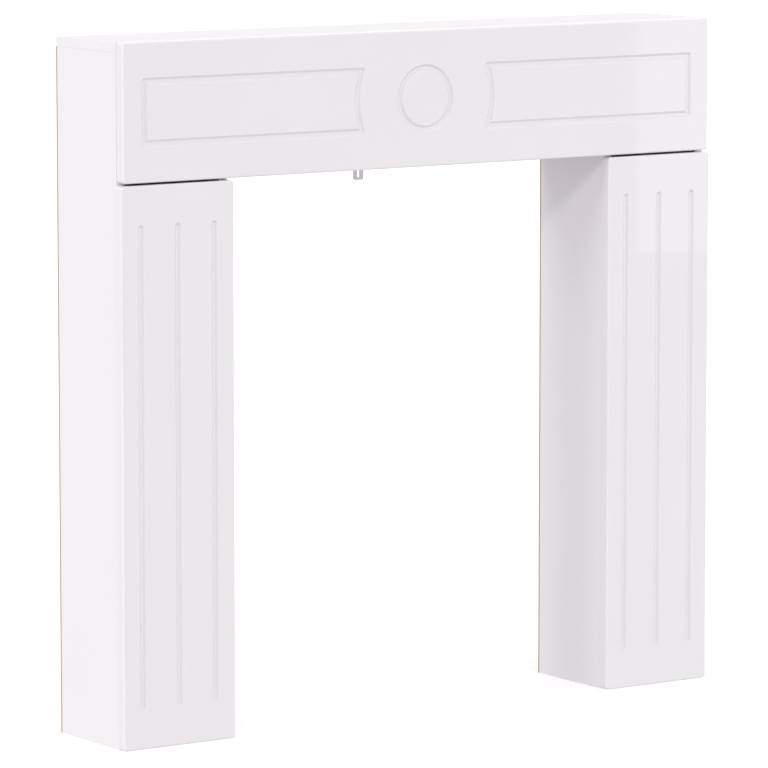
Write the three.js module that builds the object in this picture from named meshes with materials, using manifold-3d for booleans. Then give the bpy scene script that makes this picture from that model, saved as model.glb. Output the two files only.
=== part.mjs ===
// A fireplace mantelpiece: a flat-pack surround of two hollow legs and a lintel.
// The boxes are coated chipboard, closed in front by milled panels with soft round edges
// and behind by thin hardboard. A slotted steel angle under the lintel fixes it to the wall.
// Millimetres, +Z up, front towards -Y, origin on the floor in the middle of the footprint.

import * as THREE from 'three';
import { mergeVertices } from 'three/addons/utils/BufferGeometryUtils.js';
import Module from 'manifold-3d';

// Overall
const HEIGHT = 1150; // floor to shelf
const BODY_WIDTH = 1184; // outside to outside of the outer side boards
const DEPTH = 202; // wall to the face of the front panels
const LEG_WIDTH = 211; // one leg's box, over its two side boards

// Boards
const BOARD = 16; // coated chipboard
const FRONT_BOARD = 18; // milled front panels
const BACK_SHEET = 3; // hardboard backs

// Front panels
const LEG_FRONT_HEIGHT = 920;
const SHADOW_GAP = 3.5; // open joint between leg fronts and lintel front
const LEG_FRONT_OVERHANG = 2; // past each side of a leg's box
const LINTEL_FRONT_INSET = 2; // short of each end of the body
const EDGE_RADIUS = 3; // round edge all round a panel's face
const CORNER_RADIUS = 6; // in the panel's plane, more than the edge radius

// Milled grooves
const GROOVE_WIDTH = 13;
const GROOVE_FLOOR = 3.5; // the flat along a groove's middle
const GROOVE_DEPTH = 3.8;
const FLUTE_COUNT = 3; // on each leg
const FLUTE_SPACING = 70;
const FLUTE_END_MARGIN = 63; // flute's round end to the panel's edge
const FRAME_HEIGHT = 100; // between the middles of the long grooves
const FRAME_END_MARGIN = 42; // middle of the short groove to the panel's end
const RING_RADIUS = 51; // middle of the round groove
const RING_TO_FRAME = 85; // from the round groove to the frames' hollow ends

// Wall angle and its screws
const ANGLE_THICKNESS = 2;
const ANGLE_WIDTH = 20;
const ANGLE_DROP = 37; // below the lintel's bottom board
const ANGLE_FOOT = 32; // along the bottom board
const ANGLE_CORNER_RADIUS = 3;
const ANGLE_BEND_RADIUS = 1.5; // inside the bend
const SLOT_WIDTH = 5;
const SLOT_LENGTH = 22;
const SLOT_EDGE = 4; // steel left under the slot
const SCREW_RADIUS = 1.75;
const SCREW_REACH = 12; // into the bottom board
const SCREW_HEAD_RADIUS = 3.5;
const SCREW_HEAD_HEIGHT = 2.2;
const SCREW_SPACING = 13;
const SCREW_BACK_MARGIN = 12; // first screw's axis from the wall
const HOLE_CLEARANCE = 0.3;
const SEAT_CLEARANCE = 0.3; // between the angle, the screw heads and what they seat on

// Facets
const BIT_SIDES = 24; // of the milling bit's round end
const RING_SIDES = 72;
const PROFILE_STEPS = 3; // facets down each wall of a groove
const EDGE_STEPS = 3;
const SCREW_SIDES = 16;

// Planes that pieces share
const FRONT_Y = -DEPTH / 2;
const BODY_FRONT_Y = FRONT_Y + FRONT_BOARD;
const BACK_Y = DEPTH / 2;
const SHEET_FRONT_Y = BACK_Y - BACK_SHEET;
const SHELF_UNDERSIDE = HEIGHT - BOARD;
const LINTEL_BOTTOM = LEG_FRONT_HEIGHT + SHADOW_GAP;
const BODY_SIDE = BODY_WIDTH / 2;
const OPENING_SIDE = BODY_SIDE - LEG_WIDTH;

const wasm = await Module();
wasm.setup();

const gloss = () => new THREE.MeshStandardMaterial({ color: '#f2eff2', roughness: 0.12, metalness: 0 });
const coated = () => new THREE.MeshStandardMaterial({ color: '#f5f2f5', roughness: 0.4, metalness: 0 });
const hardboard = () => new THREE.MeshStandardMaterial({ color: '#dac7bb', roughness: 0.8, metalness: 0 });
const zinc = () => new THREE.MeshStandardMaterial({ color: '#c9c9cc', roughness: 0.35, metalness: 0.9 });

// A closed geometry as a solid that can be joined and cut.
function toSolid(geometry) {
  const bare = geometry.clone();
  bare.deleteAttribute('normal');
  bare.deleteAttribute('uv');
  const merged = mergeVertices(bare, 1e-4);
  return new wasm.Manifold(
    new wasm.Mesh({
      numProp: 3,
      vertProperties: new Float32Array(merged.attributes.position.array),
      triVerts: new Uint32Array(merged.index.array),
    }),
  );
}

function toGeometry(solid) {
  const mesh = solid.getMesh();
  const geometry = new THREE.BufferGeometry();
  geometry.setAttribute('position', new THREE.BufferAttribute(new Float32Array(mesh.vertProperties), 3));
  geometry.setIndex(new THREE.BufferAttribute(new Uint32Array(mesh.triVerts), 1));
  geometry.computeVertexNormals();
  return geometry;
}

function named(name, geometry, material) {
  const mesh = new THREE.Mesh(geometry, material);
  mesh.name = name;
  return mesh;
}

// A box between two corners.
function block(low, high) {
  const size = high.map((value, axis) => value - low[axis]);
  const geometry = new THREE.BoxGeometry(...size);
  return geometry.translate(...low.map((value, axis) => value + size[axis] / 2));
}

// The milling bit's half section as [radius, height above the face], from its tip upwards.
// Its tip is flat, its walls are soft S-curves, and it flares on above the face at the slope it reached.
function bitSection() {
  const wall = Array.from({ length: PROFILE_STEPS + 1 }, (_, step) => {
    const share = step / (PROFILE_STEPS + 1);
    const radius = (GROOVE_FLOOR + share * (GROOVE_WIDTH - GROOVE_FLOOR)) / 2;
    return [radius, (-GROOVE_DEPTH * (1 + Math.cos(share * Math.PI))) / 2];
  });
  const [lastRadius, lastHeight] = wall.at(-1);
  const flare = [GROOVE_WIDTH - lastRadius, -lastHeight];
  return [[0, -GROOVE_DEPTH], ...wall, flare];
}

// The groove left by the bit standing still: also its round end.
function bitAt(x, y) {
  const section = bitSection();
  const points = section.map(([radius, height]) => new THREE.Vector2(radius, height));
  points.push(new THREE.Vector2(0, section.at(-1)[1]));
  const geometry = new THREE.LatheGeometry(points, BIT_SIDES);
  geometry.rotateX(Math.PI / 2);
  return toSolid(geometry.translate(x, y, 0));
}

// The groove left by the bit moving from one point of the face to another.
function straightGroove(from, to) {
  const section = bitSection();
  const right = section.map(([radius, height]) => new THREE.Vector2(radius, height));
  const left = section.slice(1).reverse().map(([radius, height]) => new THREE.Vector2(-radius, height));
  const along = new THREE.Vector3(to[0] - from[0], to[1] - from[1], 0);
  const depth = along.length();
  along.normalize();
  const outwards = new THREE.Vector3(0, 0, 1);
  const across = outwards.clone().cross(along);
  const place = new THREE.Matrix4().makeBasis(across, outwards, along).setPosition(from[0], from[1], 0);
  const geometry = new THREE.ExtrudeGeometry(new THREE.Shape([...right, ...left]), { depth, bevelEnabled: false });
  return toSolid(geometry.applyMatrix4(place))
    .add(bitAt(...from))
    .add(bitAt(...to));
}

// The groove left by the bit moving round a full circle about the face's middle.
function roundGroove(radius) {
  const section = bitSection();
  const outer = section.map(([offset, height]) => new THREE.Vector2(radius + offset, height));
  const inner = section.slice(1).reverse().map(([offset, height]) => new THREE.Vector2(radius - offset, height));
  const geometry = new THREE.LatheGeometry([...outer, ...inner, outer[0]], RING_SIDES);
  return toSolid(geometry.rotateX(Math.PI / 2));
}

// A frame with one hollow end that follows the ring. side is -1 left of the ring, 1 right of it.
function frameGroove(panelWidth, side) {
  const farX = side * (panelWidth / 2 - FRAME_END_MARGIN);
  const halfHeight = FRAME_HEIGHT / 2;
  const hollowRadius = RING_RADIUS + RING_TO_FRAME;
  const nearX = side * Math.sqrt(hollowRadius ** 2 - halfHeight ** 2);
  const reach = 1.5;
  const fan = new THREE.Shape([
    new THREE.Vector2(0, 0),
    new THREE.Vector2(nearX * reach, -side * halfHeight * reach),
    new THREE.Vector2(nearX * reach, side * halfHeight * reach),
  ]);
  const fanBlock = new THREE.ExtrudeGeometry(fan, { depth: 4 * GROOVE_DEPTH, bevelEnabled: false });
  const hollowEnd = roundGroove(hollowRadius).intersect(toSolid(fanBlock.translate(0, 0, -2 * GROOVE_DEPTH)));
  return straightGroove([nearX, halfHeight], [farX, halfHeight])
    .add(straightGroove([farX, halfHeight], [farX, -halfHeight]))
    .add(straightGroove([farX, -halfHeight], [nearX, -halfHeight]))
    .add(hollowEnd);
}

// A milled panel lying in X and Y about its middle, face up at z = 0, with its grooves cut.
function frontPanel(width, height, grooves) {
  const x = width / 2 - CORNER_RADIUS;
  const y = height / 2 - CORNER_RADIUS;
  const outline = new THREE.Shape();
  outline.absarc(x, y, CORNER_RADIUS, 0, Math.PI / 2);
  outline.absarc(-x, y, CORNER_RADIUS, Math.PI / 2, Math.PI);
  outline.absarc(-x, -y, CORNER_RADIUS, Math.PI, 1.5 * Math.PI);
  outline.absarc(x, -y, CORNER_RADIUS, 1.5 * Math.PI, 2 * Math.PI);
  const rounded = new THREE.ExtrudeGeometry(outline, {
    depth: FRONT_BOARD,
    curveSegments: 2,
    bevelThickness: EDGE_RADIUS,
    bevelSize: EDGE_RADIUS,
    bevelOffset: -EDGE_RADIUS,
    bevelSegments: EDGE_STEPS,
  });
  rounded.translate(0, 0, -FRONT_BOARD - EDGE_RADIUS);
  const kept = toSolid(block([-width, -height, -FRONT_BOARD], [width, height, FRONT_BOARD]));
  return grooves.reduce((solid, groove) => solid.subtract(groove), toSolid(rounded).intersect(kept));
}

// Stands a panel up in the front plane with its middle at x and z.
function standPanel(mesh, x, z) {
  mesh.rotation.x = Math.PI / 2;
  mesh.position.set(x, FRONT_Y, z);
  return mesh;
}

function lintelFront() {
  const width = BODY_WIDTH - 2 * LINTEL_FRONT_INSET;
  const height = HEIGHT - LINTEL_BOTTOM;
  const grooves = [frameGroove(width, -1), roundGroove(RING_RADIUS), frameGroove(width, 1)];
  const mesh = named('lintel_front', toGeometry(frontPanel(width, height, grooves)), gloss());
  return standPanel(mesh, 0, LINTEL_BOTTOM + height / 2);
}

function legFront(name, side) {
  const width = LEG_WIDTH + 2 * LEG_FRONT_OVERHANG;
  const end = LEG_FRONT_HEIGHT / 2 - FLUTE_END_MARGIN - GROOVE_WIDTH / 2;
  const flutes = Array.from({ length: FLUTE_COUNT }, (_, index) => {
    const x = (index - (FLUTE_COUNT - 1) / 2) * FLUTE_SPACING;
    return straightGroove([x, -end], [x, end]);
  });
  const mesh = named(name, toGeometry(frontPanel(width, LEG_FRONT_HEIGHT, flutes)), gloss());
  return standPanel(mesh, side * (BODY_SIDE - LEG_WIDTH / 2), LEG_FRONT_HEIGHT / 2);
}

// The two upright boards, the front panel and the back sheet of one leg.
function leg(sideName, side) {
  const uprights = {
    outer_side: [BODY_SIDE - BOARD, BODY_SIDE],
    inner_side: [OPENING_SIDE, OPENING_SIDE + BOARD],
  };
  const group = new THREE.Group();
  for (const [boardName, [near, far]] of Object.entries(uprights)) {
    const [low, high] = side > 0 ? [near, far] : [-far, -near];
    const upright = block([low, BODY_FRONT_Y, 0], [high, SHEET_FRONT_Y, SHELF_UNDERSIDE]);
    group.add(named(`${sideName}_${boardName}`, upright, coated()));
  }
  const [low, high] = side > 0 ? [OPENING_SIDE, BODY_SIDE] : [-BODY_SIDE, -OPENING_SIDE];
  const sheet = block([low, SHEET_FRONT_Y, 0], [high, BACK_Y, SHELF_UNDERSIDE]);
  group.add(named(`${sideName}_leg_back`, sheet, hardboard()));
  group.add(legFront(`${sideName}_leg_front`, side));
  return group;
}

function screwPlaces() {
  return [0, 1].map((index) => BACK_Y - SCREW_BACK_MARGIN - index * SCREW_SPACING);
}

function disc(radius, low, high, y) {
  const geometry = new THREE.CylinderGeometry(radius, radius, high - low, SCREW_SIDES);
  geometry.rotateX(Math.PI / 2);
  return toSolid(geometry.translate(0, y, (low + high) / 2));
}

// The shelf, the lintel's front, bottom board and back sheet.
function lintel() {
  const group = new THREE.Group();
  const shelf = block([-BODY_SIDE, BODY_FRONT_Y, SHELF_UNDERSIDE], [BODY_SIDE, BACK_Y, HEIGHT]);
  group.add(named('top_board', shelf, coated()));
  const blank = block(
    [-OPENING_SIDE, BODY_FRONT_Y, LINTEL_BOTTOM],
    [OPENING_SIDE, SHEET_FRONT_Y, LINTEL_BOTTOM + BOARD],
  );
  const holeTop = LINTEL_BOTTOM + SCREW_REACH + HOLE_CLEARANCE;
  const drilled = screwPlaces().reduce(
    (solid, y) => solid.subtract(disc(SCREW_RADIUS + HOLE_CLEARANCE, LINTEL_BOTTOM - BOARD, holeTop, y)),
    toSolid(blank),
  );
  group.add(named('lintel_bottom_board', toGeometry(drilled), coated()));
  const sheet = block([-OPENING_SIDE, SHEET_FRONT_Y, LINTEL_BOTTOM], [OPENING_SIDE, BACK_Y, SHELF_UNDERSIDE]);
  group.add(named('lintel_back', sheet, hardboard()));
  group.add(lintelFront());
  return group;
}

// A rounded bar shape between two heights, as wide as the slot.
function slotShape(low, high) {
  const radius = SLOT_WIDTH / 2;
  const shape = new THREE.Shape();
  shape.absarc(0, high - radius, radius, 0, Math.PI);
  shape.absarc(0, low + radius, radius, Math.PI, 2 * Math.PI);
  return shape;
}

// The bent steel angle: a foot under the bottom board and a slotted leg down the wall.
function wallAngle() {
  const top = LINTEL_BOTTOM - SEAT_CLEARANCE;
  const bottom = LINTEL_BOTTOM - ANGLE_DROP;
  const inner = ANGLE_BEND_RADIUS;
  const outer = ANGLE_BEND_RADIUS + ANGLE_THICKNESS;
  const bent = new THREE.Shape();
  bent.moveTo(BACK_Y, bottom);
  bent.lineTo(BACK_Y, top - outer);
  bent.absarc(BACK_Y - outer, top - outer, outer, 0, Math.PI / 2);
  bent.lineTo(BACK_Y - ANGLE_FOOT, top);
  bent.lineTo(BACK_Y - ANGLE_FOOT, top - ANGLE_THICKNESS);
  bent.absarc(BACK_Y - outer, top - outer, inner, Math.PI / 2, 0, true);
  bent.lineTo(BACK_Y - ANGLE_THICKNESS, bottom);
  const bar = new THREE.ExtrudeGeometry(bent, { depth: ANGLE_WIDTH, curveSegments: 2, bevelEnabled: false });
  const sideways = new THREE.Matrix4().makeBasis(
    new THREE.Vector3(0, 1, 0),
    new THREE.Vector3(0, 0, 1),
    new THREE.Vector3(1, 0, 0),
  );
  bar.applyMatrix4(sideways).translate(-ANGLE_WIDTH / 2, 0, 0);

  const x = ANGLE_WIDTH / 2;
  const corner = ANGLE_CORNER_RADIUS;
  const silhouette = new THREE.Shape();
  silhouette.moveTo(x, LINTEL_BOTTOM);
  silhouette.lineTo(-x, LINTEL_BOTTOM);
  silhouette.absarc(-x + corner, bottom + corner, corner, Math.PI, 1.5 * Math.PI);
  silhouette.absarc(x - corner, bottom + corner, corner, 1.5 * Math.PI, 2 * Math.PI);
  const through = { depth: DEPTH, curveSegments: 4, bevelEnabled: false };
  const backwards = (shape) => {
    const geometry = new THREE.ExtrudeGeometry(shape, through).rotateX(Math.PI / 2);
    return toSolid(geometry.translate(0, BACK_Y + DEPTH / 2, 0));
  };
  const slot = backwards(slotShape(bottom + SLOT_EDGE, bottom + SLOT_EDGE + SLOT_LENGTH));
  const plain = toSolid(bar).intersect(backwards(silhouette)).subtract(slot);
  const drilled = screwPlaces().reduce(
    (solid, y) => solid.subtract(disc(SCREW_RADIUS + HOLE_CLEARANCE, top - 2 * ANGLE_THICKNESS, LINTEL_BOTTOM, y)),
    plain,
  );
  return named('wall_angle', toGeometry(drilled), zinc());
}

// A pan-head screw pointing up through the angle's foot into the bottom board.
function screw(name, y) {
  const seat = LINTEL_BOTTOM - SEAT_CLEARANCE - ANGLE_THICKNESS - SEAT_CLEARANCE;
  const head = disc(SCREW_HEAD_RADIUS, seat - SCREW_HEAD_HEIGHT, seat, y);
  const shank = disc(SCREW_RADIUS, seat - SCREW_HEAD_HEIGHT / 2, LINTEL_BOTTOM + SCREW_REACH, y);
  return named(name, toGeometry(head.add(shank)), zinc());
}

const mantelpiece = new THREE.Group();
mantelpiece.add(lintel(), leg('left', -1), leg('right', 1), wallAngle());
const [nearWall, farFromWall] = screwPlaces();
mantelpiece.add(screw('angle_screw_back', nearWall), screw('angle_screw_front', farFromWall));

export default mantelpiece;
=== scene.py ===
"""A white fireplace mantelpiece of coated boards, milled gloss fronts, hardboard backs and a wall angle."""

import logging
import math
from collections.abc import Callable, Iterator, Mapping, Sequence
from contextlib import contextmanager
from dataclasses import dataclass, field
from enum import Enum
from itertools import pairwise
from typing import Any

import bmesh
import bpy
from mathutils import Euler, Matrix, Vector


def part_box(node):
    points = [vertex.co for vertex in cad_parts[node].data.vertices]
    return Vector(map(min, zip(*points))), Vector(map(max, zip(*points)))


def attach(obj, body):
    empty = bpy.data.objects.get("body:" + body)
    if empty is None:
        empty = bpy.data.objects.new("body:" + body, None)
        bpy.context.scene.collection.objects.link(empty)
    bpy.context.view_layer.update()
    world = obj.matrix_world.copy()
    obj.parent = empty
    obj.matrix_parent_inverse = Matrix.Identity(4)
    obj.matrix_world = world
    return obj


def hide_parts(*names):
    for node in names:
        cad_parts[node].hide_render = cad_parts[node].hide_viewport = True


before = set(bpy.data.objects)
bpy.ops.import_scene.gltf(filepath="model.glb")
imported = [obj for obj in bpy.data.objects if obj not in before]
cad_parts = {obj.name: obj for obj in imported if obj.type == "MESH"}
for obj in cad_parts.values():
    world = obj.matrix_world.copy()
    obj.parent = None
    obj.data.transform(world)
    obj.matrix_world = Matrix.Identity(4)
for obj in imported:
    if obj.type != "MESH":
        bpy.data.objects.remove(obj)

MM = 0.001
OUT = Vector((0.0, -1.0, 0.0))  # the way the fronts face
SMALL = 1e-6  # metres, for telling whether two places are the same
log = logging.getLogger("mantelpiece")


class Element(Enum):
    """What a selection is made of."""

    VERTICES = "VERT"
    EDGES = "EDGE"
    FACES = "FACE"


class Side(Enum):
    """A half of the mantelpiece, with the sign of its X."""

    LEFT = -1
    RIGHT = 1


def linear(colour: str) -> tuple[float, float, float, float]:
    """Turns an sRGB hex value into linear red, green, blue and alpha.

    Args:
        colour: The value as #rrggbb.

    Returns:
        The four linear channels, with alpha at 1.
    """
    channels = (int(colour[start : start + 2], 16) / 255 for start in (1, 3, 5))
    red, green, blue = (c / 12.92 if c <= 0.04045 else ((c + 0.055) / 1.055) ** 2.4 for c in channels)
    return red, green, blue, 1.0


def add_node(
    tree: bpy.types.NodeTree,
    kind: str,
    settings: Mapping[str, Any] | None = None,
    inputs: Mapping[str | int, Any] | None = None,
) -> bpy.types.Node:
    """Adds a shader node with its settings and links.

    Args:
        tree: The node tree that gets it.
        kind: Blender's name for the kind of node.
        settings: The node's own properties by name.
        inputs: For each socket, by name or number, a value or the output that feeds it.

    Returns:
        The new node.
    """
    node = tree.nodes.new(kind)
    for name, value in (settings or {}).items():
        setattr(node, name, value)
    for name, value in (inputs or {}).items():
        socket = node.inputs[name]
        if isinstance(value, bpy.types.NodeSocket):
            tree.links.new(value, socket)
        else:
            socket.default_value = value
    return node


def select_only(piece: bpy.types.Object) -> None:
    """Selects one object, makes it the active one and deselects the rest."""
    bpy.ops.object.select_all(action="DESELECT")
    piece.select_set(True)
    bpy.context.view_layer.objects.active = piece


@contextmanager
def editing(piece: bpy.types.Object) -> Iterator[None]:
    """Opens a piece in edit mode, by vertex and with nothing selected, and closes it at the end.

    Args:
        piece: The piece to edit.
    """
    select_only(piece)
    bpy.ops.object.mode_set(mode="EDIT")
    bpy.ops.mesh.select_mode(type="VERT")
    bpy.ops.mesh.select_all(action="DESELECT")
    yield
    bpy.ops.object.mode_set(mode="OBJECT")


def pick(piece: bpy.types.Object, element: Element, wanted: Callable[[Any], bool]) -> None:
    """Selects the parts of a piece in edit mode that pass a test.

    Args:
        piece: The piece in edit mode.
        element: Whether vertices, edges or faces are tested.
        wanted: The test.
    """
    bpy.ops.mesh.select_mode(type=element.value)
    bpy.ops.mesh.select_all(action="DESELECT")
    mesh = bmesh.from_edit_mesh(piece.data)
    items = {Element.VERTICES: mesh.verts, Element.EDGES: mesh.edges, Element.FACES: mesh.faces}[element]
    for item in [found for found in items if wanted(found)]:
        item.select_set(True)
    mesh.select_flush_mode()
    bmesh.update_edit_mesh(piece.data)


def settle(piece: bpy.types.Object) -> None:
    """Moves a piece's place into its mesh, so that its own origin is the model's."""
    select_only(piece)
    bpy.ops.object.transform_apply(location=True, rotation=True, scale=True)


def add_block(name: str, low: Vector, high: Vector) -> bpy.types.Object:
    """Adds a rectangular block.

    Args:
        name: The new piece's name.
        low: Its lowest corner.
        high: Its highest corner.

    Returns:
        The block.
    """
    bpy.ops.object.select_all(action="DESELECT")
    bpy.ops.mesh.primitive_cube_add(size=1.0, location=(low + high) / 2, scale=high - low)
    piece = bpy.context.active_object
    piece.name = piece.data.name = name
    settle(piece)
    return piece


def add_round(name: str, radius: float, low: Vector, height: float, sides: int) -> bpy.types.Object:
    """Adds an upright round bar.

    Args:
        name: The new piece's name.
        radius: Its radius.
        low: The middle of its lower end.
        height: Its height.
        sides: How many sides stand for the circle.

    Returns:
        The bar.
    """
    bpy.ops.object.select_all(action="DESELECT")
    centre = low + Vector((0.0, 0.0, height / 2))
    bpy.ops.mesh.primitive_cylinder_add(vertices=sides, radius=radius, depth=height, location=centre)
    piece = bpy.context.active_object
    piece.name = piece.data.name = name
    settle(piece)
    return piece


def draw_line(name: str, points: Sequence[Vector]) -> bpy.types.Object:
    """Draws a line of edges by pulling one vertex from point to point.

    Args:
        name: The new piece's name.
        points: The places it passes, the last one like the first if the line is closed.

    Returns:
        The line, as a mesh with no faces.
    """
    bpy.ops.object.select_all(action="DESELECT")
    bpy.ops.mesh.primitive_plane_add(size=MM, location=points[0])
    piece = bpy.context.active_object
    piece.name = piece.data.name = name
    settle(piece)
    with editing(piece):
        bpy.ops.mesh.select_all(action="SELECT")
        bpy.ops.mesh.merge(type="CENTER")
        for here, there in pairwise(points):
            bpy.ops.mesh.extrude_vertices_move(TRANSFORM_OT_translate={"value": there - here})
        tidy_mesh()
    return piece


def tidy_mesh() -> None:
    """Merges what lies at the same place in the piece in edit mode, and turns its faces outwards."""
    bpy.ops.mesh.select_all(action="SELECT")
    bpy.ops.mesh.remove_doubles(threshold=SMALL)
    bpy.ops.mesh.normals_make_consistent(inside=False)


def sweep_round(centre: Vector, axis: Vector, turn: float, steps: int) -> None:
    """Sweeps what is selected in edit mode round an axis, anticlockwise when the axis points at the eye.

    Args:
        centre: A place on the axis.
        axis: Its direction.
        turn: How far, in radians.
        steps: How many facets the way round has.
    """
    bpy.ops.mesh.spin(steps=steps, angle=-turn, center=centre, axis=axis)


def cut(piece: bpy.types.Object, tool: bpy.types.Object, operation: str = "DIFFERENCE") -> None:
    """Cuts a tool's shape out of a piece, or joins it on, and removes the tool.

    Args:
        piece: The piece to change.
        tool: The closed shape.
        operation: Blender's name for what is done with it.
    """
    boolean = piece.modifiers.new("cut", "BOOLEAN")
    boolean.operation = operation
    boolean.solver = "EXACT"
    boolean.object = tool
    select_only(piece)
    bpy.ops.object.modifier_apply(modifier=boolean.name)
    bpy.data.objects.remove(tool)
    with editing(piece):
        tidy_mesh()


def round_edges(piece: bpy.types.Object, radius: float, segments: int, wanted: Callable[[Any], bool]) -> None:
    """Rounds the edges of a piece that pass a test.

    Args:
        piece: The piece.
        radius: The round's radius.
        segments: How many facets make it.
        wanted: The test for an edge.
    """
    with editing(piece):
        pick(piece, Element.EDGES, wanted)
        bpy.ops.mesh.bevel(offset=radius, segments=segments, profile=0.5, affect="EDGES", clamp_overlap=True)


def smooth(piece: bpy.types.Object, crease: float) -> None:
    """Shades a piece smooth, with its wide flats left flat.

    Args:
        piece: The piece.
        crease: Edges that turn by more than this many degrees stay sharp.
    """
    select_only(piece)
    bpy.ops.object.shade_smooth_by_angle(angle=math.radians(crease))
    weighted = piece.modifiers.new("flats", "WEIGHTED_NORMAL")
    weighted.keep_sharp = True
    bpy.ops.object.modifier_apply(modifier=weighted.name)


def hand_over(piece: bpy.types.Object, finish: "Finish", node: str, repeats: Sequence[str] = ()) -> None:
    """Gives a finished piece its finish, puts it on the model's body and lets it stand for its solid.

    Args:
        piece: The finished piece.
        finish: Its finish.
        node: The solid that it replaces.
        repeats: Solids of the same shape, each of which gets a copy with its own mesh.
    """
    for other in repeats:
        copy = piece.copy()
        copy.data = piece.data.copy()
        copy.name = copy.data.name = piece.name.replace(node, other)
        bpy.context.collection.objects.link(copy)
        copy.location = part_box(other)[0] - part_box(node)[0]
        settle(copy)
        hand_over(copy, finish, other)
    finish.dress(piece)
    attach(piece, "root")
    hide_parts(node)
    log.info("%s: %d faces, %s", piece.name, len(piece.data.polygons), finish.name)


@dataclass(frozen=True)
class Finish:
    """A surface, named for what it is made of and how.

    Attributes:
        name: The material's name.
        slot: The record's slot that it belongs to; nothing in the script uses it.
    """

    name: str
    slot: str

    def wire(self, tree: bpy.types.NodeTree, shader: bpy.types.Node, place: bpy.types.NodeSocket) -> None:
        """Adds the finish's own nodes.

        Args:
            tree: The material's node tree.
            shader: Its surface shader.
            place: The place on the piece, in metres.
        """
        raise NotImplementedError

    def material(self) -> bpy.types.Material:
        """Makes the material the first time, and finds it after that.

        Returns:
            The material.
        """
        found = bpy.data.materials.get(self.name)
        if found:
            return found
        made = bpy.data.materials.new(self.name)
        made.use_nodes = True
        tree = made.node_tree
        tree.nodes.clear()
        place = add_node(tree, "ShaderNodeTexCoord").outputs["Object"]
        shader = add_node(tree, "ShaderNodeBsdfPrincipled")
        self.wire(tree, shader, place)
        add_node(tree, "ShaderNodeOutputMaterial", inputs={"Surface": shader.outputs["BSDF"]})
        return made

    def dress(self, piece: bpy.types.Object) -> None:
        """Puts the finish all over a piece."""
        piece.data.materials.clear()
        piece.data.materials.append(self.material())


@dataclass(frozen=True)
class GlossFilm(Finish):
    """White PVC film drawn by vacuum over milled fibreboard.

    The eye gets a mirror that wavers a little, because the film follows the board's surface.
    """

    name: str = "pvc_film_vacuum_pressed_gloss"
    slot: str = "gloss_front"
    colour: str = "#e7e4e7"
    cloud_colour: str = "#e4e1e4"
    cloud_mm: float = 220.0
    roughness: tuple[float, float] = (0.02, 0.035)
    haze_mm: float = 60.0
    peel_mm: float = 5.0
    peel_height_mm: float = 0.0012
    ior: float = 1.53

    def wire(self, tree: bpy.types.NodeTree, shader: bpy.types.Node, place: bpy.types.NodeSocket) -> None:
        """Adds faint clouds of tone, haze in the gloss and the film's waver."""
        clouds = add_node(
            tree,
            "ShaderNodeTexNoise",
            inputs={"Vector": place, "Scale": 1 / (self.cloud_mm * MM), "Detail": 2.0},
        )
        tone = add_node(
            tree,
            "ShaderNodeMix",
            {"data_type": "RGBA"},
            {0: clouds.outputs["Fac"], 6: linear(self.colour), 7: linear(self.cloud_colour)},
        )
        haze = add_node(
            tree,
            "ShaderNodeTexNoise",
            inputs={"Vector": place, "Scale": 1 / (self.haze_mm * MM), "Detail": 3.0},
        )
        gloss = add_node(
            tree,
            "ShaderNodeMapRange",
            inputs={"Value": haze.outputs["Fac"], "To Min": self.roughness[0], "To Max": self.roughness[1]},
        )
        peel = add_node(
            tree,
            "ShaderNodeTexNoise",
            inputs={"Vector": place, "Scale": 1 / (self.peel_mm * MM), "Detail": 1.0},
        )
        waver = add_node(
            tree,
            "ShaderNodeBump",
            inputs={"Height": peel.outputs["Fac"], "Distance": self.peel_height_mm * MM, "Strength": 1.0},
        )
        shader.inputs["IOR"].default_value = self.ior
        tree.links.new(tone.outputs[2], shader.inputs["Base Color"])
        tree.links.new(gloss.outputs["Result"], shader.inputs["Roughness"])
        tree.links.new(waver.outputs["Normal"], shader.inputs["Normal"])


@dataclass(frozen=True)
class MelamineCoat(Finish):
    """White melamine paper pressed on chipboard with a pearl plate.

    The eye gets a soft satin with a fine even grain. The real grain is 0.3 mm, drawn coarser to show.
    """

    name: str = "melamine_pressed_satin"
    slot: str = "coated_board"
    colour: str = "#eae7ea"
    cloud_colour: str = "#e7e4e7"
    cloud_mm: float = 300.0
    roughness: tuple[float, float] = (0.32, 0.42)
    pearl_mm: float = 0.9
    pearl_height_mm: float = 0.012
    ior: float = 1.5

    def wire(self, tree: bpy.types.NodeTree, shader: bpy.types.Node, place: bpy.types.NodeSocket) -> None:
        """Adds faint clouds of tone and the pearl grain in height and gloss."""
        clouds = add_node(
            tree,
            "ShaderNodeTexNoise",
            inputs={"Vector": place, "Scale": 1 / (self.cloud_mm * MM), "Detail": 2.0},
        )
        tone = add_node(
            tree,
            "ShaderNodeMix",
            {"data_type": "RGBA"},
            {0: clouds.outputs["Fac"], 6: linear(self.colour), 7: linear(self.cloud_colour)},
        )
        pearl = add_node(
            tree,
            "ShaderNodeTexVoronoi",
            {"feature": "SMOOTH_F1"},
            {"Vector": place, "Scale": 1 / (self.pearl_mm * MM), "Smoothness": 1.0},
        )
        satin = add_node(
            tree,
            "ShaderNodeMapRange",
            inputs={
                "Value": pearl.outputs["Distance"],
                "To Min": self.roughness[0],
                "To Max": self.roughness[1],
            },
        )
        grain = add_node(
            tree,
            "ShaderNodeBump",
            inputs={
                "Height": pearl.outputs["Distance"],
                "Distance": self.pearl_height_mm * MM,
                "Strength": 1.0,
            },
        )
        shader.inputs["IOR"].default_value = self.ior
        tree.links.new(tone.outputs[2], shader.inputs["Base Color"])
        tree.links.new(satin.outputs["Result"], shader.inputs["Roughness"])
        tree.links.new(grain.outputs["Normal"], shader.inputs["Normal"])


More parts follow.
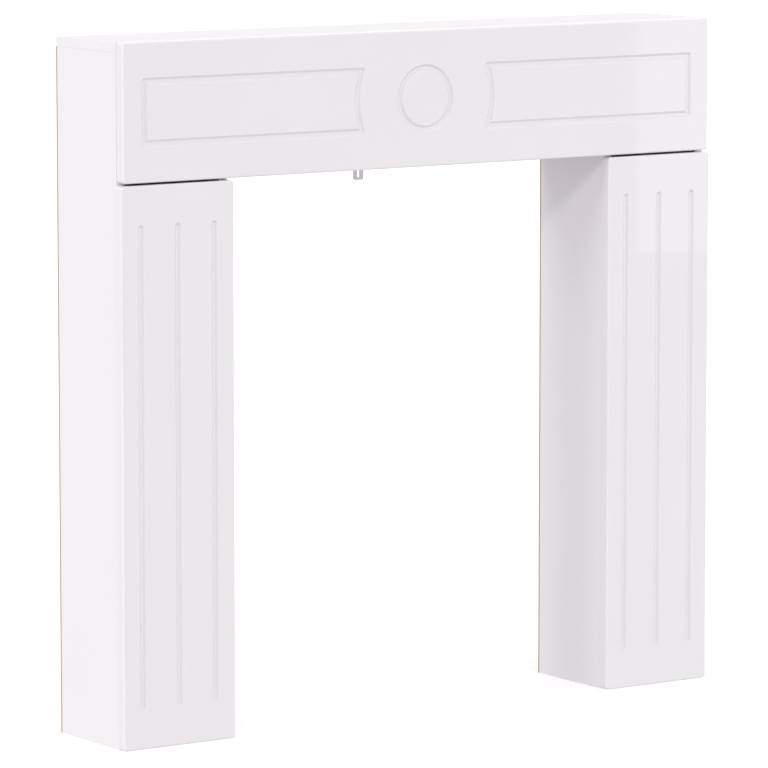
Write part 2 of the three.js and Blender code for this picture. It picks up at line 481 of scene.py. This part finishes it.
@dataclass(frozen=True)
class RawHardboard(Finish):
    """Wood fibres felted and pressed into a thin sheet, uncoated.

    The eye gets a matt tan with short paler and darker fibres and a few dark flecks.
    """

    name: str = "hardboard_pressed_raw"
    slot: str = "hardboard"
    pale: str = "#cda688"
    dark: str = "#a97f60"
    fleck: str = "#7a563c"
    fibre_mm: float = 2.2
    fleck_mm: float = 7.0
    fleck_share: float = 0.06
    roughness: float = 0.78
    nap_height_mm: float = 0.05

    def wire(self, tree: bpy.types.NodeTree, shader: bpy.types.Node, place: bpy.types.NodeSocket) -> None:
        """Adds the felted fibres, the flecks and the nap."""
        fibres = add_node(
            tree,
            "ShaderNodeTexNoise",
            inputs={
                "Vector": place,
                "Scale": 1 / (self.fibre_mm * MM),
                "Detail": 5.0,
                "Roughness": 0.65,
                "Distortion": 1.6,
            },
        )
        felt = add_node(
            tree,
            "ShaderNodeMix",
            {"data_type": "RGBA"},
            {0: fibres.outputs["Fac"], 6: linear(self.dark), 7: linear(self.pale)},
        )
        grid = add_node(
            tree,
            "ShaderNodeTexVoronoi",
            inputs={"Vector": place, "Scale": 1 / (self.fleck_mm * MM)},
        )
        spots = add_node(
            tree,
            "ShaderNodeMapRange",
            {"interpolation_type": "SMOOTHSTEP"},
            {
                "Value": grid.outputs["Distance"],
                "From Min": self.fleck_share,
                "From Max": 2 * self.fleck_share,
                "To Min": 0.6,
                "To Max": 0.0,
            },
        )
        tone = add_node(
            tree,
            "ShaderNodeMix",
            {"data_type": "RGBA"},
            {0: spots.outputs["Result"], 6: felt.outputs[2], 7: linear(self.fleck)},
        )
        nap = add_node(
            tree,
            "ShaderNodeBump",
            inputs={"Height": fibres.outputs["Fac"], "Distance": self.nap_height_mm * MM, "Strength": 1.0},
        )
        shader.inputs["Roughness"].default_value = self.roughness
        tree.links.new(tone.outputs[2], shader.inputs["Base Color"])
        tree.links.new(nap.outputs["Normal"], shader.inputs["Normal"])


@dataclass(frozen=True)
class ZincPlate(Finish):
    """Pressed steel with a bright zinc plating.

    The eye gets a pale grey metal with faint rolling lines and cloudy patches of gloss.
    """

    name: str = "steel_pressed_zinc_plated"
    slot: str = "zinc_plated_steel"
    colour: str = "#d9d9dc"
    roughness: tuple[float, float] = (0.28, 0.46)
    patch_mm: float = 6.0
    line_mm: float = 0.35
    line_stretch: float = 12.0
    line_height_mm: float = 0.004

    def wire(self, tree: bpy.types.NodeTree, shader: bpy.types.Node, place: bpy.types.NodeSocket) -> None:
        """Adds the rolling lines, which run up and down, and the patches."""
        long_place = add_node(
            tree,
            "ShaderNodeMapping",
            inputs={"Vector": place, "Scale": (1.0, 1.0, 1.0 / self.line_stretch)},
        )
        lines = add_node(
            tree,
            "ShaderNodeTexNoise",
            inputs={"Vector": long_place.outputs["Vector"], "Scale": 1 / (self.line_mm * MM), "Detail": 2.0},
        )
        patches = add_node(
            tree,
            "ShaderNodeTexNoise",
            inputs={"Vector": place, "Scale": 1 / (self.patch_mm * MM), "Detail": 3.0},
        )
        gloss = add_node(
            tree,
            "ShaderNodeMapRange",
            inputs={
                "Value": patches.outputs["Fac"],
                "To Min": self.roughness[0],
                "To Max": self.roughness[1],
            },
        )
        rolled = add_node(
            tree,
            "ShaderNodeBump",
            inputs={"Height": lines.outputs["Fac"], "Distance": self.line_height_mm * MM, "Strength": 1.0},
        )
        shader.inputs["Metallic"].default_value = 1.0
        shader.inputs["Base Color"].default_value = linear(self.colour)
        tree.links.new(gloss.outputs["Result"], shader.inputs["Roughness"])
        tree.links.new(rolled.outputs["Normal"], shader.inputs["Normal"])


@dataclass(frozen=True)
class MillingBit:
    """The shaped bit that mills every groove, with a flat tip and soft S-curved walls.

    Attributes:
        width: The groove's width on the face.
        floor: The width of the flat along its middle.
        depth: Its depth there.
        wall_steps: How many facets go down a wall.
        turn_steps: How many facets go round half a turn.
    """

    width: float = 13 * MM
    floor: float = 3.5 * MM
    depth: float = 3.8 * MM
    wall_steps: int = 10
    turn_steps: int = 16

    def wall(self) -> list[tuple[float, float]]:
        """Works out half of the bit's section, from its tip to a flare above the face.

        Returns:
            Pairs of distance from the bit's axis and height above the face.
        """
        points = [(0.0, -self.depth)]
        for step in range(self.wall_steps):
            share = step / self.wall_steps
            height = -self.depth * (1 + math.cos(math.pi * share)) / 2
            points.append(((self.floor + share * (self.width - self.floor)) / 2, height))
        last_radius, last_height = points[-1]
        points.append((self.width - last_radius, -last_height))
        return points

    def section(self) -> list[tuple[float, float]]:
        """Works out the whole section, from one flare through the tip to the other and back over the top."""
        wall = self.wall()
        mirrored = [(-radius, height) for radius, height in reversed(wall[1:])]
        return [*wall, *mirrored, wall[0]]


@dataclass(frozen=True)
class StraightGroove:
    """A groove milled from one place on the face to another, with the bit's round ends.

    Attributes:
        start: Where the bit enters.
        end: Where it leaves.
    """

    start: Vector
    end: Vector

    def tool(self, bit: MillingBit) -> bpy.types.Object:
        """Makes the space that the bit sweeps.

        Args:
            bit: The bit.

        Returns:
            A closed shape that reaches above the face.
        """
        along = (self.end - self.start).normalized()
        across = along.cross(OUT)
        line = draw_line("groove", [self.start + across * r + OUT * h for r, h in bit.wall()])
        with editing(line):
            bpy.ops.mesh.select_all(action="SELECT")
            sweep_round(self.start, -OUT, math.pi, bit.turn_steps)
            pick(line, Element.VERTICES, lambda v: abs((v.co - self.start).dot(along)) < SMALL)
            bpy.ops.mesh.extrude_region_move(TRANSFORM_OT_translate={"value": self.end - self.start})
            pick(line, Element.VERTICES, lambda v: self._leads(v.co, along, across))
            sweep_round(self.end, OUT, math.pi, bit.turn_steps)
            tidy_mesh()
            pick(line, Element.EDGES, lambda e: e.is_boundary)
            bpy.ops.mesh.edge_face_add()
            tidy_mesh()
        return line

    def _leads(self, place: Vector, along: Vector, across: Vector) -> bool:
        """Tells whether a place is in the half section at the groove's end that makes its round end."""
        offset = place - self.end
        return abs(offset.dot(along)) < SMALL and offset.dot(across) > -SMALL


@dataclass(frozen=True)
class LinkGroove:
    """A straight groove that runs into two others, whose round ends finish it.

    Attributes:
        start: Where it starts, in the first of them.
        end: Where it ends, in the second.
        lap: How far it reaches past both.
    """

    start: Vector
    end: Vector
    lap: float = 0.3 * MM

    def tool(self, bit: MillingBit) -> bpy.types.Object:
        """Makes the space that the bit sweeps.

        Args:
            bit: The bit.

        Returns:
            A closed shape that reaches above the face.
        """
        along = (self.end - self.start).normalized()
        across = along.cross(OUT)
        first = self.start - along * self.lap
        line = draw_line("link_groove", [first + across * r + OUT * h for r, h in bit.section()])
        with editing(line):
            bpy.ops.mesh.select_all(action="SELECT")
            bpy.ops.mesh.edge_face_add()
            way = self.end + along * self.lap - first
            bpy.ops.mesh.extrude_region_move(TRANSFORM_OT_translate={"value": way})
            tidy_mesh()
        return line


@dataclass(frozen=True)
class RoundGroove:
    """A groove milled round a centre, all the way or for a part of a turn.

    Attributes:
        centre: The centre, on the face.
        start: Where the bit starts, on the face.
        turn: How far it goes round, in radians, anticlockwise seen from the front.
        steps: How many facets go round.
    """

    centre: Vector
    start: Vector
    turn: float = math.tau
    steps: int = 96

    def tool(self, bit: MillingBit) -> bpy.types.Object:
        """Makes the space that the bit sweeps.

        Args:
            bit: The bit.

        Returns:
            A closed shape that reaches above the face.
        """
        radial = (self.start - self.centre).normalized()
        line = draw_line("round_groove", [self.start + radial * r + OUT * h for r, h in bit.section()])
        with editing(line):
            bpy.ops.mesh.select_all(action="SELECT")
            sweep_round(self.centre, OUT, self.turn, self.steps)
            tidy_mesh()
            if self.turn < math.tau:
                side = OUT.cross(radial)
                pick(line, Element.EDGES, lambda e: e.is_boundary and self._starts(e, side))
                bpy.ops.mesh.edge_face_add()
                pick(line, Element.EDGES, lambda e: e.is_boundary)
                bpy.ops.mesh.edge_face_add()
            tidy_mesh()
        return line

    def _starts(self, edge: bmesh.types.BMEdge, side: Vector) -> bool:
        """Tells whether an edge lies in the section where the bit starts."""
        return all(abs((v.co - self.start).dot(side)) < SMALL for v in edge.verts)


Groove = StraightGroove | LinkGroove | RoundGroove


@dataclass
class MilledFront:
    """A front panel of fibreboard: round corners, round edges and milled grooves under a gloss film.

    Attributes:
        node: The solid that it replaces.
        finish: Its film.
        bit: The bit that mills its grooves.
        corner_radius: Of its outline.
        edge_radius: Round its face.
        round_segments: Facets in each of those rounds.
        crease: Edges that turn by more than this many degrees look sharp.
        low: Its lowest corner, from its solid.
        high: Its highest corner.
    """

    node: str
    finish: GlossFilm = field(default_factory=GlossFilm)
    bit: MillingBit = field(default_factory=MillingBit)
    corner_radius: float = 6 * MM
    edge_radius: float = 3 * MM
    round_segments: int = 6
    crease: float = 35.0
    low: Vector = field(init=False)
    high: Vector = field(init=False)

    def __post_init__(self) -> None:
        """Reads the panel's place from its solid."""
        self.low, self.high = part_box(self.node)

    def on_face(self, x: float, z: float) -> Vector:
        """Gives a place on the panel's face."""
        return Vector((x, self.low.y, z))

    def grooves(self) -> list[Groove]:
        """Lists the panel's grooves."""
        raise NotImplementedError

    def build(self, repeats: Sequence[str] = ()) -> None:
        """Models the panel.

        Args:
            repeats: Solids of the same shape, which get copies.
        """
        piece = add_block(f"{self.node}_panel", self.low, self.high)
        round_edges(piece, self.corner_radius, self.round_segments, self._is_corner)
        round_edges(piece, self.edge_radius, self.round_segments, self._is_rim)
        for groove in self.grooves():
            cut(piece, groove.tool(self.bit))
        smooth(piece, self.crease)
        hand_over(piece, self.finish, self.node, repeats)

    def _is_corner(self, edge: bmesh.types.BMEdge) -> bool:
        """Tells whether an edge runs from the panel's face to its back."""
        return abs(edge.verts[0].co.y - edge.verts[1].co.y) > SMALL

    def _is_rim(self, edge: bmesh.types.BMEdge) -> bool:
        """Tells whether an edge lies round the panel's face."""
        return all(abs(v.co.y - self.low.y) < SMALL for v in edge.verts)


@dataclass
class LintelFront(MilledFront):
    """The lintel's front, with a ring between two frames whose inner ends follow it.

    Attributes:
        ring_radius: To the middle of the round groove.
        frame_height: Between the middles of a frame's long grooves.
        frame_end_margin: From the middle of its outer groove to the panel's end.
        ring_to_frame: From the ring to the frames' hollow ends.
        hollow_steps: Facets along a hollow end.
        hair: How far a frame's ends are set in, so that no two of the bit's surfaces coincide.
    """

    node: str = "lintel_front"
    ring_radius: float = 51 * MM
    frame_height: float = 100 * MM
    frame_end_margin: float = 42 * MM
    ring_to_frame: float = 85 * MM
    hollow_steps: int = 24
    hair: float = 0.01 * MM

    def grooves(self) -> list[Groove]:
        """Lists the grooves of both frames and the ring."""
        middle = (self.low.z + self.high.z) / 2
        ring = RoundGroove(self.on_face(0.0, middle), self.on_face(self.ring_radius, middle))
        return [*self._frame(Side.LEFT, middle), ring, *self._frame(Side.RIGHT, middle)]

    def _frame(self, side: Side, middle: float) -> list[Groove]:
        """Lists the grooves of one frame.

        Args:
            side: The half of the panel that it is on.
            middle: The height of the ring's centre.

        Returns:
            Its three straight grooves and its hollow end.
        """
        half = self.frame_height / 2
        radius = self.ring_radius + self.ring_to_frame
        near = side.value * math.sqrt(radius**2 - half**2)
        far = side.value * (self.high.x - self.frame_end_margin)
        link = far - side.value * self.hair
        rise = math.asin(half / radius) + LinkGroove.lap / radius
        hollow = side.value * (radius + self.hair)
        hollow_start = self.on_face(hollow * math.cos(rise), middle - hollow * math.sin(rise))
        return [
            StraightGroove(self.on_face(near, middle + half), self.on_face(far, middle + half)),
            StraightGroove(self.on_face(far, middle - half), self.on_face(near, middle - half)),
            LinkGroove(self.on_face(link, middle + half), self.on_face(link, middle - half)),
            RoundGroove(self.on_face(0.0, middle), hollow_start, 2 * rise, self.hollow_steps),
        ]


@dataclass
class LegFront(MilledFront):
    """A leg's front, with upright flutes.

    Attributes:
        flutes: How many there are.
        spacing: Between their middles.
        end_margin: From a flute's round end to the panel's edge.
    """

    flutes: int = 3
    spacing: float = 70 * MM
    end_margin: float = 63 * MM

    def grooves(self) -> list[Groove]:
        """Lists the flutes."""
        middle = (self.low.x + self.high.x) / 2
        inset = self.end_margin + self.bit.width / 2
        places = [middle + (index - (self.flutes - 1) / 2) * self.spacing for index in range(self.flutes)]
        return [
            StraightGroove(self.on_face(x, self.low.z + inset), self.on_face(x, self.high.z - inset))
            for x in places
        ]


@dataclass
class CoatedBoard:
    """A chipboard panel, its faces coated and its edges closed with a rounded band.

    Attributes:
        node: The solid that it replaces.
        finish: Its coat.
        band_radius: Of its edges.
        band_segments: Facets in that round.
        crease: Edges that turn by more than this many degrees look sharp.
    """

    node: str
    finish: MelamineCoat = field(default_factory=MelamineCoat)
    band_radius: float = 0.5 * MM
    band_segments: int = 3
    crease: float = 50.0

    def build(self, repeats: Sequence[str] = ()) -> None:
        """Models the board.

        Args:
            repeats: Solids of the same shape, which get copies.
        """
        piece = add_block(f"{self.node}_coated", *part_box(self.node))
        round_edges(piece, self.band_radius, self.band_segments, lambda edge: True)
        smooth(piece, self.crease)
        hand_over(piece, self.finish, self.node, repeats)


@dataclass
class BackSheet:
    """A thin hardboard back, which keeps its solid's own shape.

    Attributes:
        node: The solid.
        finish: Its surface.
    """

    node: str
    finish: RawHardboard = field(default_factory=RawHardboard)

    def build(self) -> None:
        """Dresses the solid."""
        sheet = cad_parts[self.node]
        self.finish.dress(sheet)
        log.info("%s: %s", sheet.name, self.finish.name)


@dataclass
class WallAngle:
    """The bent steel strip under the lintel, with an upright slot for a wall screw.

    Attributes:
        node: The solid that it replaces.
        finish: Its plating.
        thickness: Of the steel.
        bend_radius: Inside the bend.
        bend_segments: Facets in the bend and in the rounds of its corners and slot.
        corner_radius: Of its free corners.
        slot_width: Of the upright slot.
        slot_length: From end to end.
        slot_edge: Steel left under the slot.
        hole_radius: Of the holes in its foot.
        hole_sides: Facets round a hole.
        burr_radius: Round all its edges.
        burr_segments: Facets in that round.
        burr_angle: Edges that turn by more than this many degrees have it.
        crease: Edges that turn by more than this many degrees look sharp.
    """

    node: str = "wall_angle"
    finish: ZincPlate = field(default_factory=ZincPlate)
    thickness: float = 2 * MM
    bend_radius: float = 1.5 * MM
    bend_segments: int = 6
    corner_radius: float = 3 * MM
    slot_width: float = 5 * MM
    slot_length: float = 22 * MM
    slot_edge: float = 4 * MM
    hole_radius: float = 2.05 * MM
    hole_sides: int = 24
    burr_radius: float = 0.25 * MM
    burr_segments: int = 2
    burr_angle: float = 40.0
    crease: float = 50.0

    def build(self, screw_places: Sequence[float]) -> None:
        """Models the angle.

        Args:
            screw_places: How far back each screw's axis is.
        """
        low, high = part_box(self.node)
        piece = self._bent_strip(low, high)
        round_edges(
            piece,
            self.corner_radius,
            self.bend_segments,
            lambda edge: self._is_free_corner(edge, low),
        )
        slot_low = low.z + self.slot_edge
        slot = add_block(
            "slot",
            Vector((-self.slot_width / 2, low.y, slot_low)),
            Vector((self.slot_width / 2, high.y + self.thickness, slot_low + self.slot_length)),
        )
        round_edges(
            slot,
            self.slot_width / 2 - SMALL,
            self.bend_segments,
            lambda edge: abs(edge.verts[0].co.y - edge.verts[1].co.y) > SMALL,
        )
        cut(piece, slot)
        for place in screw_places:
            foot = Vector((0.0, place, high.z - 2 * self.thickness))
            cut(piece, add_round("hole", self.hole_radius, foot, 3 * self.thickness, self.hole_sides))
        bevel = piece.modifiers.new("burr", "BEVEL")
        bevel.width = self.burr_radius
        bevel.segments = self.burr_segments
        bevel.limit_method = "ANGLE"
        bevel.angle_limit = math.radians(self.burr_angle)
        select_only(piece)
        bpy.ops.object.modifier_apply(modifier=bevel.name)
        smooth(piece, self.crease)
        hand_over(piece, self.finish, self.node)

    def _bent_strip(self, low: Vector, high: Vector) -> bpy.types.Object:
        """Pulls the angle's bent section out to its width.

        Args:
            low: The lowest corner of its box.
            high: The highest corner.

        Returns:
            The plain strip.
        """
        outer = self.bend_radius + self.thickness
        centre = Vector((low.x, high.y - outer, high.z - outer))
        turns = [math.pi / 2 * step / self.bend_segments for step in range(self.bend_segments + 1)]
        rays = [Vector((0.0, math.cos(turn), math.sin(turn))) for turn in turns]
        section = [
            Vector((low.x, high.y, low.z)),
            *(centre + ray * outer for ray in rays),
            Vector((low.x, low.y, high.z)),
            Vector((low.x, low.y, high.z - self.thickness)),
            *(centre + ray * self.bend_radius for ray in reversed(rays)),
            Vector((low.x, high.y - self.thickness, low.z)),
        ]
        piece = draw_line(f"{self.node}_plated", [*section, section[0]])
        with editing(piece):
            bpy.ops.mesh.select_all(action="SELECT")
            bpy.ops.mesh.edge_face_add()
            bpy.ops.mesh.extrude_region_move(TRANSFORM_OT_translate={"value": (high.x - low.x, 0.0, 0.0)})
            tidy_mesh()
        return piece

    def _is_free_corner(self, edge: bmesh.types.BMEdge, low: Vector) -> bool:
        """Tells whether an edge crosses the steel at one of the strip's free ends."""
        first, second = (v.co for v in edge.verts)
        across_x = abs(first.x - second.x) > SMALL
        at_bottom = abs(first.z - low.z) < SMALL and abs(second.z - low.z) < SMALL
        at_front = abs(first.y - low.y) < SMALL and abs(second.y - low.y) < SMALL
        return not across_x and (at_bottom or at_front)


@dataclass
class PanHeadScrew:
    """A short screw with a domed head and a cross recess, driven upwards.

    Attributes:
        finish: Its plating.
        head_radius: Of the head.
        head_height: Of the head.
        dome: Rounding of the head's rim.
        dome_segments: Facets in that round.
        shank_radius: Of the shank.
        tip_length: Of its point.
        tip_share: How wide the point's end is, as a share of the shank.
        recess_length: Of the cross.
        recess_width: Of each arm.
        recess_depth: Of the cross.
        sides: Facets round the screw.
        crease: Edges that turn by more than this many degrees look sharp.
    """

    finish: ZincPlate = field(default_factory=ZincPlate)
    head_radius: float = 3.5 * MM
    head_height: float = 2.2 * MM
    dome: float = 1.5 * MM
    dome_segments: int = 5
    shank_radius: float = 1.75 * MM
    tip_length: float = 3 * MM
    tip_share: float = 0.15
    recess_length: float = 3.6 * MM
    recess_width: float = 0.9 * MM
    recess_depth: float = 1.2 * MM
    sides: int = 32
    crease: float = 40.0

    def model(self, name: str, node: str) -> bpy.types.Object:
        """Models a screw at a solid's place.

        Args:
            name: The new piece's name.
            node: The solid.

        Returns:
            The screw, not yet dressed.
        """
        low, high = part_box(node)
        foot = Vector(((low.x + high.x) / 2, (low.y + high.y) / 2, low.z))
        piece = add_round(name, self.head_radius, foot, self.head_height, self.sides)
        round_edges(
            piece,
            self.dome,
            self.dome_segments,
            lambda edge: all(abs(v.co.z - low.z) < SMALL for v in edge.verts),
        )
        shank_low = foot + Vector((0.0, 0.0, self.head_height / 2))
        shank = add_round("shank", self.shank_radius, shank_low, high.z - shank_low.z, self.sides)
        with editing(shank):
            pick(shank, Element.FACES, lambda face: face.normal.z > 1.0 - SMALL)
            bpy.ops.mesh.extrude_region_move(TRANSFORM_OT_translate={"value": (0.0, 0.0, 0.0)})
            bpy.ops.transform.resize(value=(self.tip_share, self.tip_share, 1.0))
            pick(shank, Element.VERTICES, lambda v: self._is_shoulder(v.co, foot, high.z))
            bpy.ops.transform.translate(value=(0.0, 0.0, -self.tip_length))
        cut(piece, shank, "UNION")
        arm = Vector((self.recess_length / 2, self.recess_width / 2, self.recess_depth))
        for half in (arm, arm.yxz):
            cut(piece, add_block("recess", foot - half, foot + half))
        smooth(piece, self.crease)
        return piece

    def _is_shoulder(self, place: Vector, foot: Vector, top: float) -> bool:
        """Tells whether a place is on the shank's upper rim, where the point starts."""
        from_axis = math.hypot(place.x - foot.x, place.y - foot.y)
        return abs(place.z - top) < SMALL and from_axis > self.shank_radius / 2

    def build_all(self, nodes: Sequence[str]) -> list[float]:
        """Models the first screw and copies it to the others.

        Args:
            nodes: The solids that they replace.

        Returns:
            How far back each screw's axis is.
        """
        first = self.model(f"{nodes[0]}_plated", nodes[0])
        hand_over(first, self.finish, nodes[0], nodes[1:])
        return [(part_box(node)[0].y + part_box(node)[1].y) / 2 for node in nodes]


@dataclass
class Legs:
    """Both legs, each of two upright boards, a fluted front and a hardboard back.

    Attributes:
        boards: What the boards' solids are called after the side.
    """

    boards: tuple[str, ...] = ("outer_side", "inner_side")

    def build(self) -> None:
        """Models the left leg's boards and front, copies them to the right leg and dresses the backs."""
        for board in self.boards:
            CoatedBoard(f"left_{board}").build(repeats=[f"right_{board}"])
        LegFront("left_leg_front").build(repeats=["right_leg_front"])
        for side in Side:
            BackSheet(f"{side.name.lower()}_leg_back").build()


@dataclass
class Lintel:
    """The shelf, the lintel's milled front, its bottom board and its back."""

    def build(self) -> None:
        """Models and dresses the lintel's pieces."""
        CoatedBoard("top_board").build()
        CoatedBoard("lintel_bottom_board").build()
        LintelFront().build()
        BackSheet("lintel_back").build()


@dataclass
class Camera:
    """A long lens that looks a little down on the left front, as in the reference picture.

    Attributes:
        place: Where the camera stands.
        heading: How far it looks to the right of straight at the wall, in degrees.
        dip: How far it looks down, in degrees.
        lens_mm: Its focal length.
        sensor_mm: The width of its sensor.
        nearest: What is nearer isn't seen, in metres.
        farthest: What is farther isn't seen, in metres.
    """

    place: Vector = field(default_factory=lambda: Vector((-5.084, -7.426, 1.704)))
    heading: float = 34.316
    dip: float = 7.317
    lens_mm: float = 252.3
    sensor_mm: float = 36.0
    nearest: float = 0.1
    farthest: float = 200.0

    def build(self) -> None:
        """Adds the camera and makes it the scene's."""
        turn = Euler((math.radians(90 - self.dip), 0.0, math.radians(-self.heading)))
        bpy.ops.object.camera_add(location=self.place, rotation=turn)
        camera = bpy.context.active_object
        camera.name = "camera"
        camera.data.sensor_width = self.sensor_mm
        camera.data.lens = self.lens_mm
        camera.data.clip_start = self.nearest
        camera.data.clip_end = self.farthest
        bpy.context.scene.camera = camera


@dataclass(frozen=True)
class FarLight:
    """A large light far off, which reaches every place from the same way.

    Attributes:
        name: Its name.
        left_turn: Where it hangs, in degrees round to the left from straight in front.
        rise: How high it hangs, in degrees above the floor.
        spread: How wide it looks, in degrees.
        level: How much it gives a surface that faces it, where a white room at 1 gives 1.
        mirrored: Whether satin and gloss show it.
        shown_away: How far off its marker stands, in metres, which makes no difference to the light.
    """

    name: str
    left_turn: float
    rise: float
    spread: float
    level: float
    mirrored: bool = False
    shown_away: float = 5.0

    def build(self) -> None:
        """Hangs the light."""
        turn = math.radians(self.left_turn)
        rise = math.radians(self.rise)
        way = Vector((-math.sin(turn) * math.cos(rise), -math.cos(turn) * math.cos(rise), math.sin(rise)))
        facing = way.to_track_quat("Z", "Y").to_euler()
        bpy.ops.object.light_add(type="SUN", location=way * self.shown_away, rotation=facing)
        light = bpy.context.active_object
        light.name = self.name
        light.visible_glossy = self.mirrored
        light.data.angle = math.radians(self.spread)
        light.data.energy = self.level * math.pi


@dataclass(frozen=True)
class SoftBox:
    """A rectangular studio light that hangs upright and isn't seen itself.

    Attributes:
        name: Its name.
        place: Its middle.
        target: The place that it is turned to, without tipping.
        width: Across.
        height: Up and down.
        radiance: How bright its face is, where a white room is 1.
    """

    name: str
    place: Vector
    target: Vector
    width: float
    height: float
    radiance: float

    def build(self) -> None:
        """Hangs the light."""
        way = self.target - self.place
        turn = Euler((math.radians(90), 0.0, math.atan2(-way.x, way.y)))
        bpy.ops.object.light_add(type="AREA", location=self.place, rotation=turn)
        light = bpy.context.active_object
        light.name = self.name
        light.visible_camera = False
        light.data.shape = "RECTANGLE"
        light.data.size = self.width
        light.data.size_y = self.height
        light.data.energy = self.radiance * math.pi * self.width * self.height


@dataclass
class Studio:
    """A plain white floor and surroundings, with soft lights.

    The floor only shows under the piece and gives it no light of its own. What would come from it
    comes from the lower half of the surroundings, as in a studio with a lit sweep.

    Attributes:
        floor_size: Across the floor.
        floor_colours: Of the floor, which has a faint mottle.
        floor_glow: What the lit sweep adds to it for the eye.
        surround_colour: Of all that is round it.
        upper_level: How bright the surroundings are above.
        lower_level: How bright they are below.
        seen_level: How bright they look behind the piece.
    """

    floor_size: float = 60.0
    floor_colours: tuple[str, str] = ("#f7f6f7", "#f9f8f9")
    floor_glow: float = 0.2
    surround_colour: str = "#fffeff"
    upper_level: float = 0.72
    lower_level: float = 0.66
    seen_level: float = 1.0

    def build(self) -> None:
        """Lays the floor, lights the surroundings and hangs the lights."""
        self._lay_floor()
        self._light_surroundings()
        for light in self._lights():
            light.build()
        view = bpy.context.scene.view_settings
        view.view_transform = "Standard"
        view.look = "None"

    def _lights(self) -> list[FarLight | SoftBox]:
        """Lists the lights."""
        return [
            FarLight("key_light", left_turn=45, rise=26.3, spread=8, level=0.175),
            FarLight("left_light", left_turn=90, rise=20, spread=20, level=0.34),
            FarLight("right_light", left_turn=-50, rise=20, spread=40, level=0.08),
            FarLight("front_light", left_turn=0, rise=10, spread=60, level=0.185),
            FarLight("back_light", left_turn=-146, rise=10, spread=100, level=0.25, mirrored=True),
            SoftBox(
                "gloss_card",
                place=Vector((3.118, -2.662, 1.579)),
                target=Vector((1.427, -0.184, 1.579)),
                width=1.2,
                height=2.4,
                radiance=0.9,
            ),
        ]

    def _lay_floor(self) -> None:
        """Lays a pale floor with a faint mottle."""
        bpy.ops.object.select_all(action="DESELECT")
        bpy.ops.mesh.primitive_plane_add(size=self.floor_size, location=(0.0, 0.0, 0.0))
        floor = bpy.context.active_object
        floor.name = "studio_floor"
        floor_material = bpy.data.materials.new("paper_rolled_matt")
        floor_material.use_nodes = True
        tree = floor_material.node_tree
        shader = tree.nodes["Principled BSDF"]
        place = add_node(tree, "ShaderNodeTexCoord").outputs["Object"]
        mottle = add_node(tree, "ShaderNodeTexNoise", inputs={"Vector": place, "Scale": 3.0})
        tone = add_node(
            tree,
            "ShaderNodeMix",
            {"data_type": "RGBA"},
            {0: mottle.outputs["Fac"], 6: linear(self.floor_colours[0]), 7: linear(self.floor_colours[1])},
        )
        tree.links.new(tone.outputs[2], shader.inputs["Base Color"])
        shader.inputs["Roughness"].default_value = 0.9
        shader.inputs["Specular IOR Level"].default_value = 0.0
        shader.inputs["Emission Color"].default_value = linear(self.surround_colour)
        shader.inputs["Emission Strength"].default_value = self.floor_glow
        floor.data.materials.append(floor_material)
        floor.visible_diffuse = floor.visible_glossy = floor.visible_transmission = False
        floor.visible_shadow = False

    def _light_surroundings(self) -> None:
        """Makes the surroundings white, a little brighter above than below."""
        world = bpy.data.worlds.new("white_surroundings")
        world.use_nodes = True
        tree = world.node_tree
        way = add_node(tree, "ShaderNodeTexCoord").outputs["Generated"]
        height = add_node(tree, "ShaderNodeSeparateXYZ", inputs={"Vector": way}).outputs["Z"]
        above = add_node(tree, "ShaderNodeMath", {"operation": "GREATER_THAN"}, {0: height, 1: 0.0})
        level = add_node(
            tree,
            "ShaderNodeMapRange",
            inputs={"Value": above.outputs["Value"], "To Min": self.lower_level, "To Max": self.upper_level},
        )
        seen = add_node(tree, "ShaderNodeLightPath").outputs["Is Camera Ray"]
        strength = add_node(
            tree,
            "ShaderNodeMix",
            {"data_type": "FLOAT"},
            {0: seen, 2: level.outputs["Result"], 3: self.seen_level},
        )
        background = tree.nodes["Background"]
        background.inputs["Color"].default_value = linear(self.surround_colour)
        tree.links.new(strength.outputs[0], background.inputs["Strength"])
        bpy.context.scene.world = world


def main() -> None:
    """Builds the mantelpiece and the studio, in order."""
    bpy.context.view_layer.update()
    Lintel().build()
    Legs().build()
    screw_places = PanHeadScrew().build_all(["angle_screw_back", "angle_screw_front"])
    WallAngle().build(screw_places)
    Studio().build()
    Camera().build()


if __name__ == "__main__":
    logging.basicConfig(level=logging.INFO, format="%(message)s")
    main()
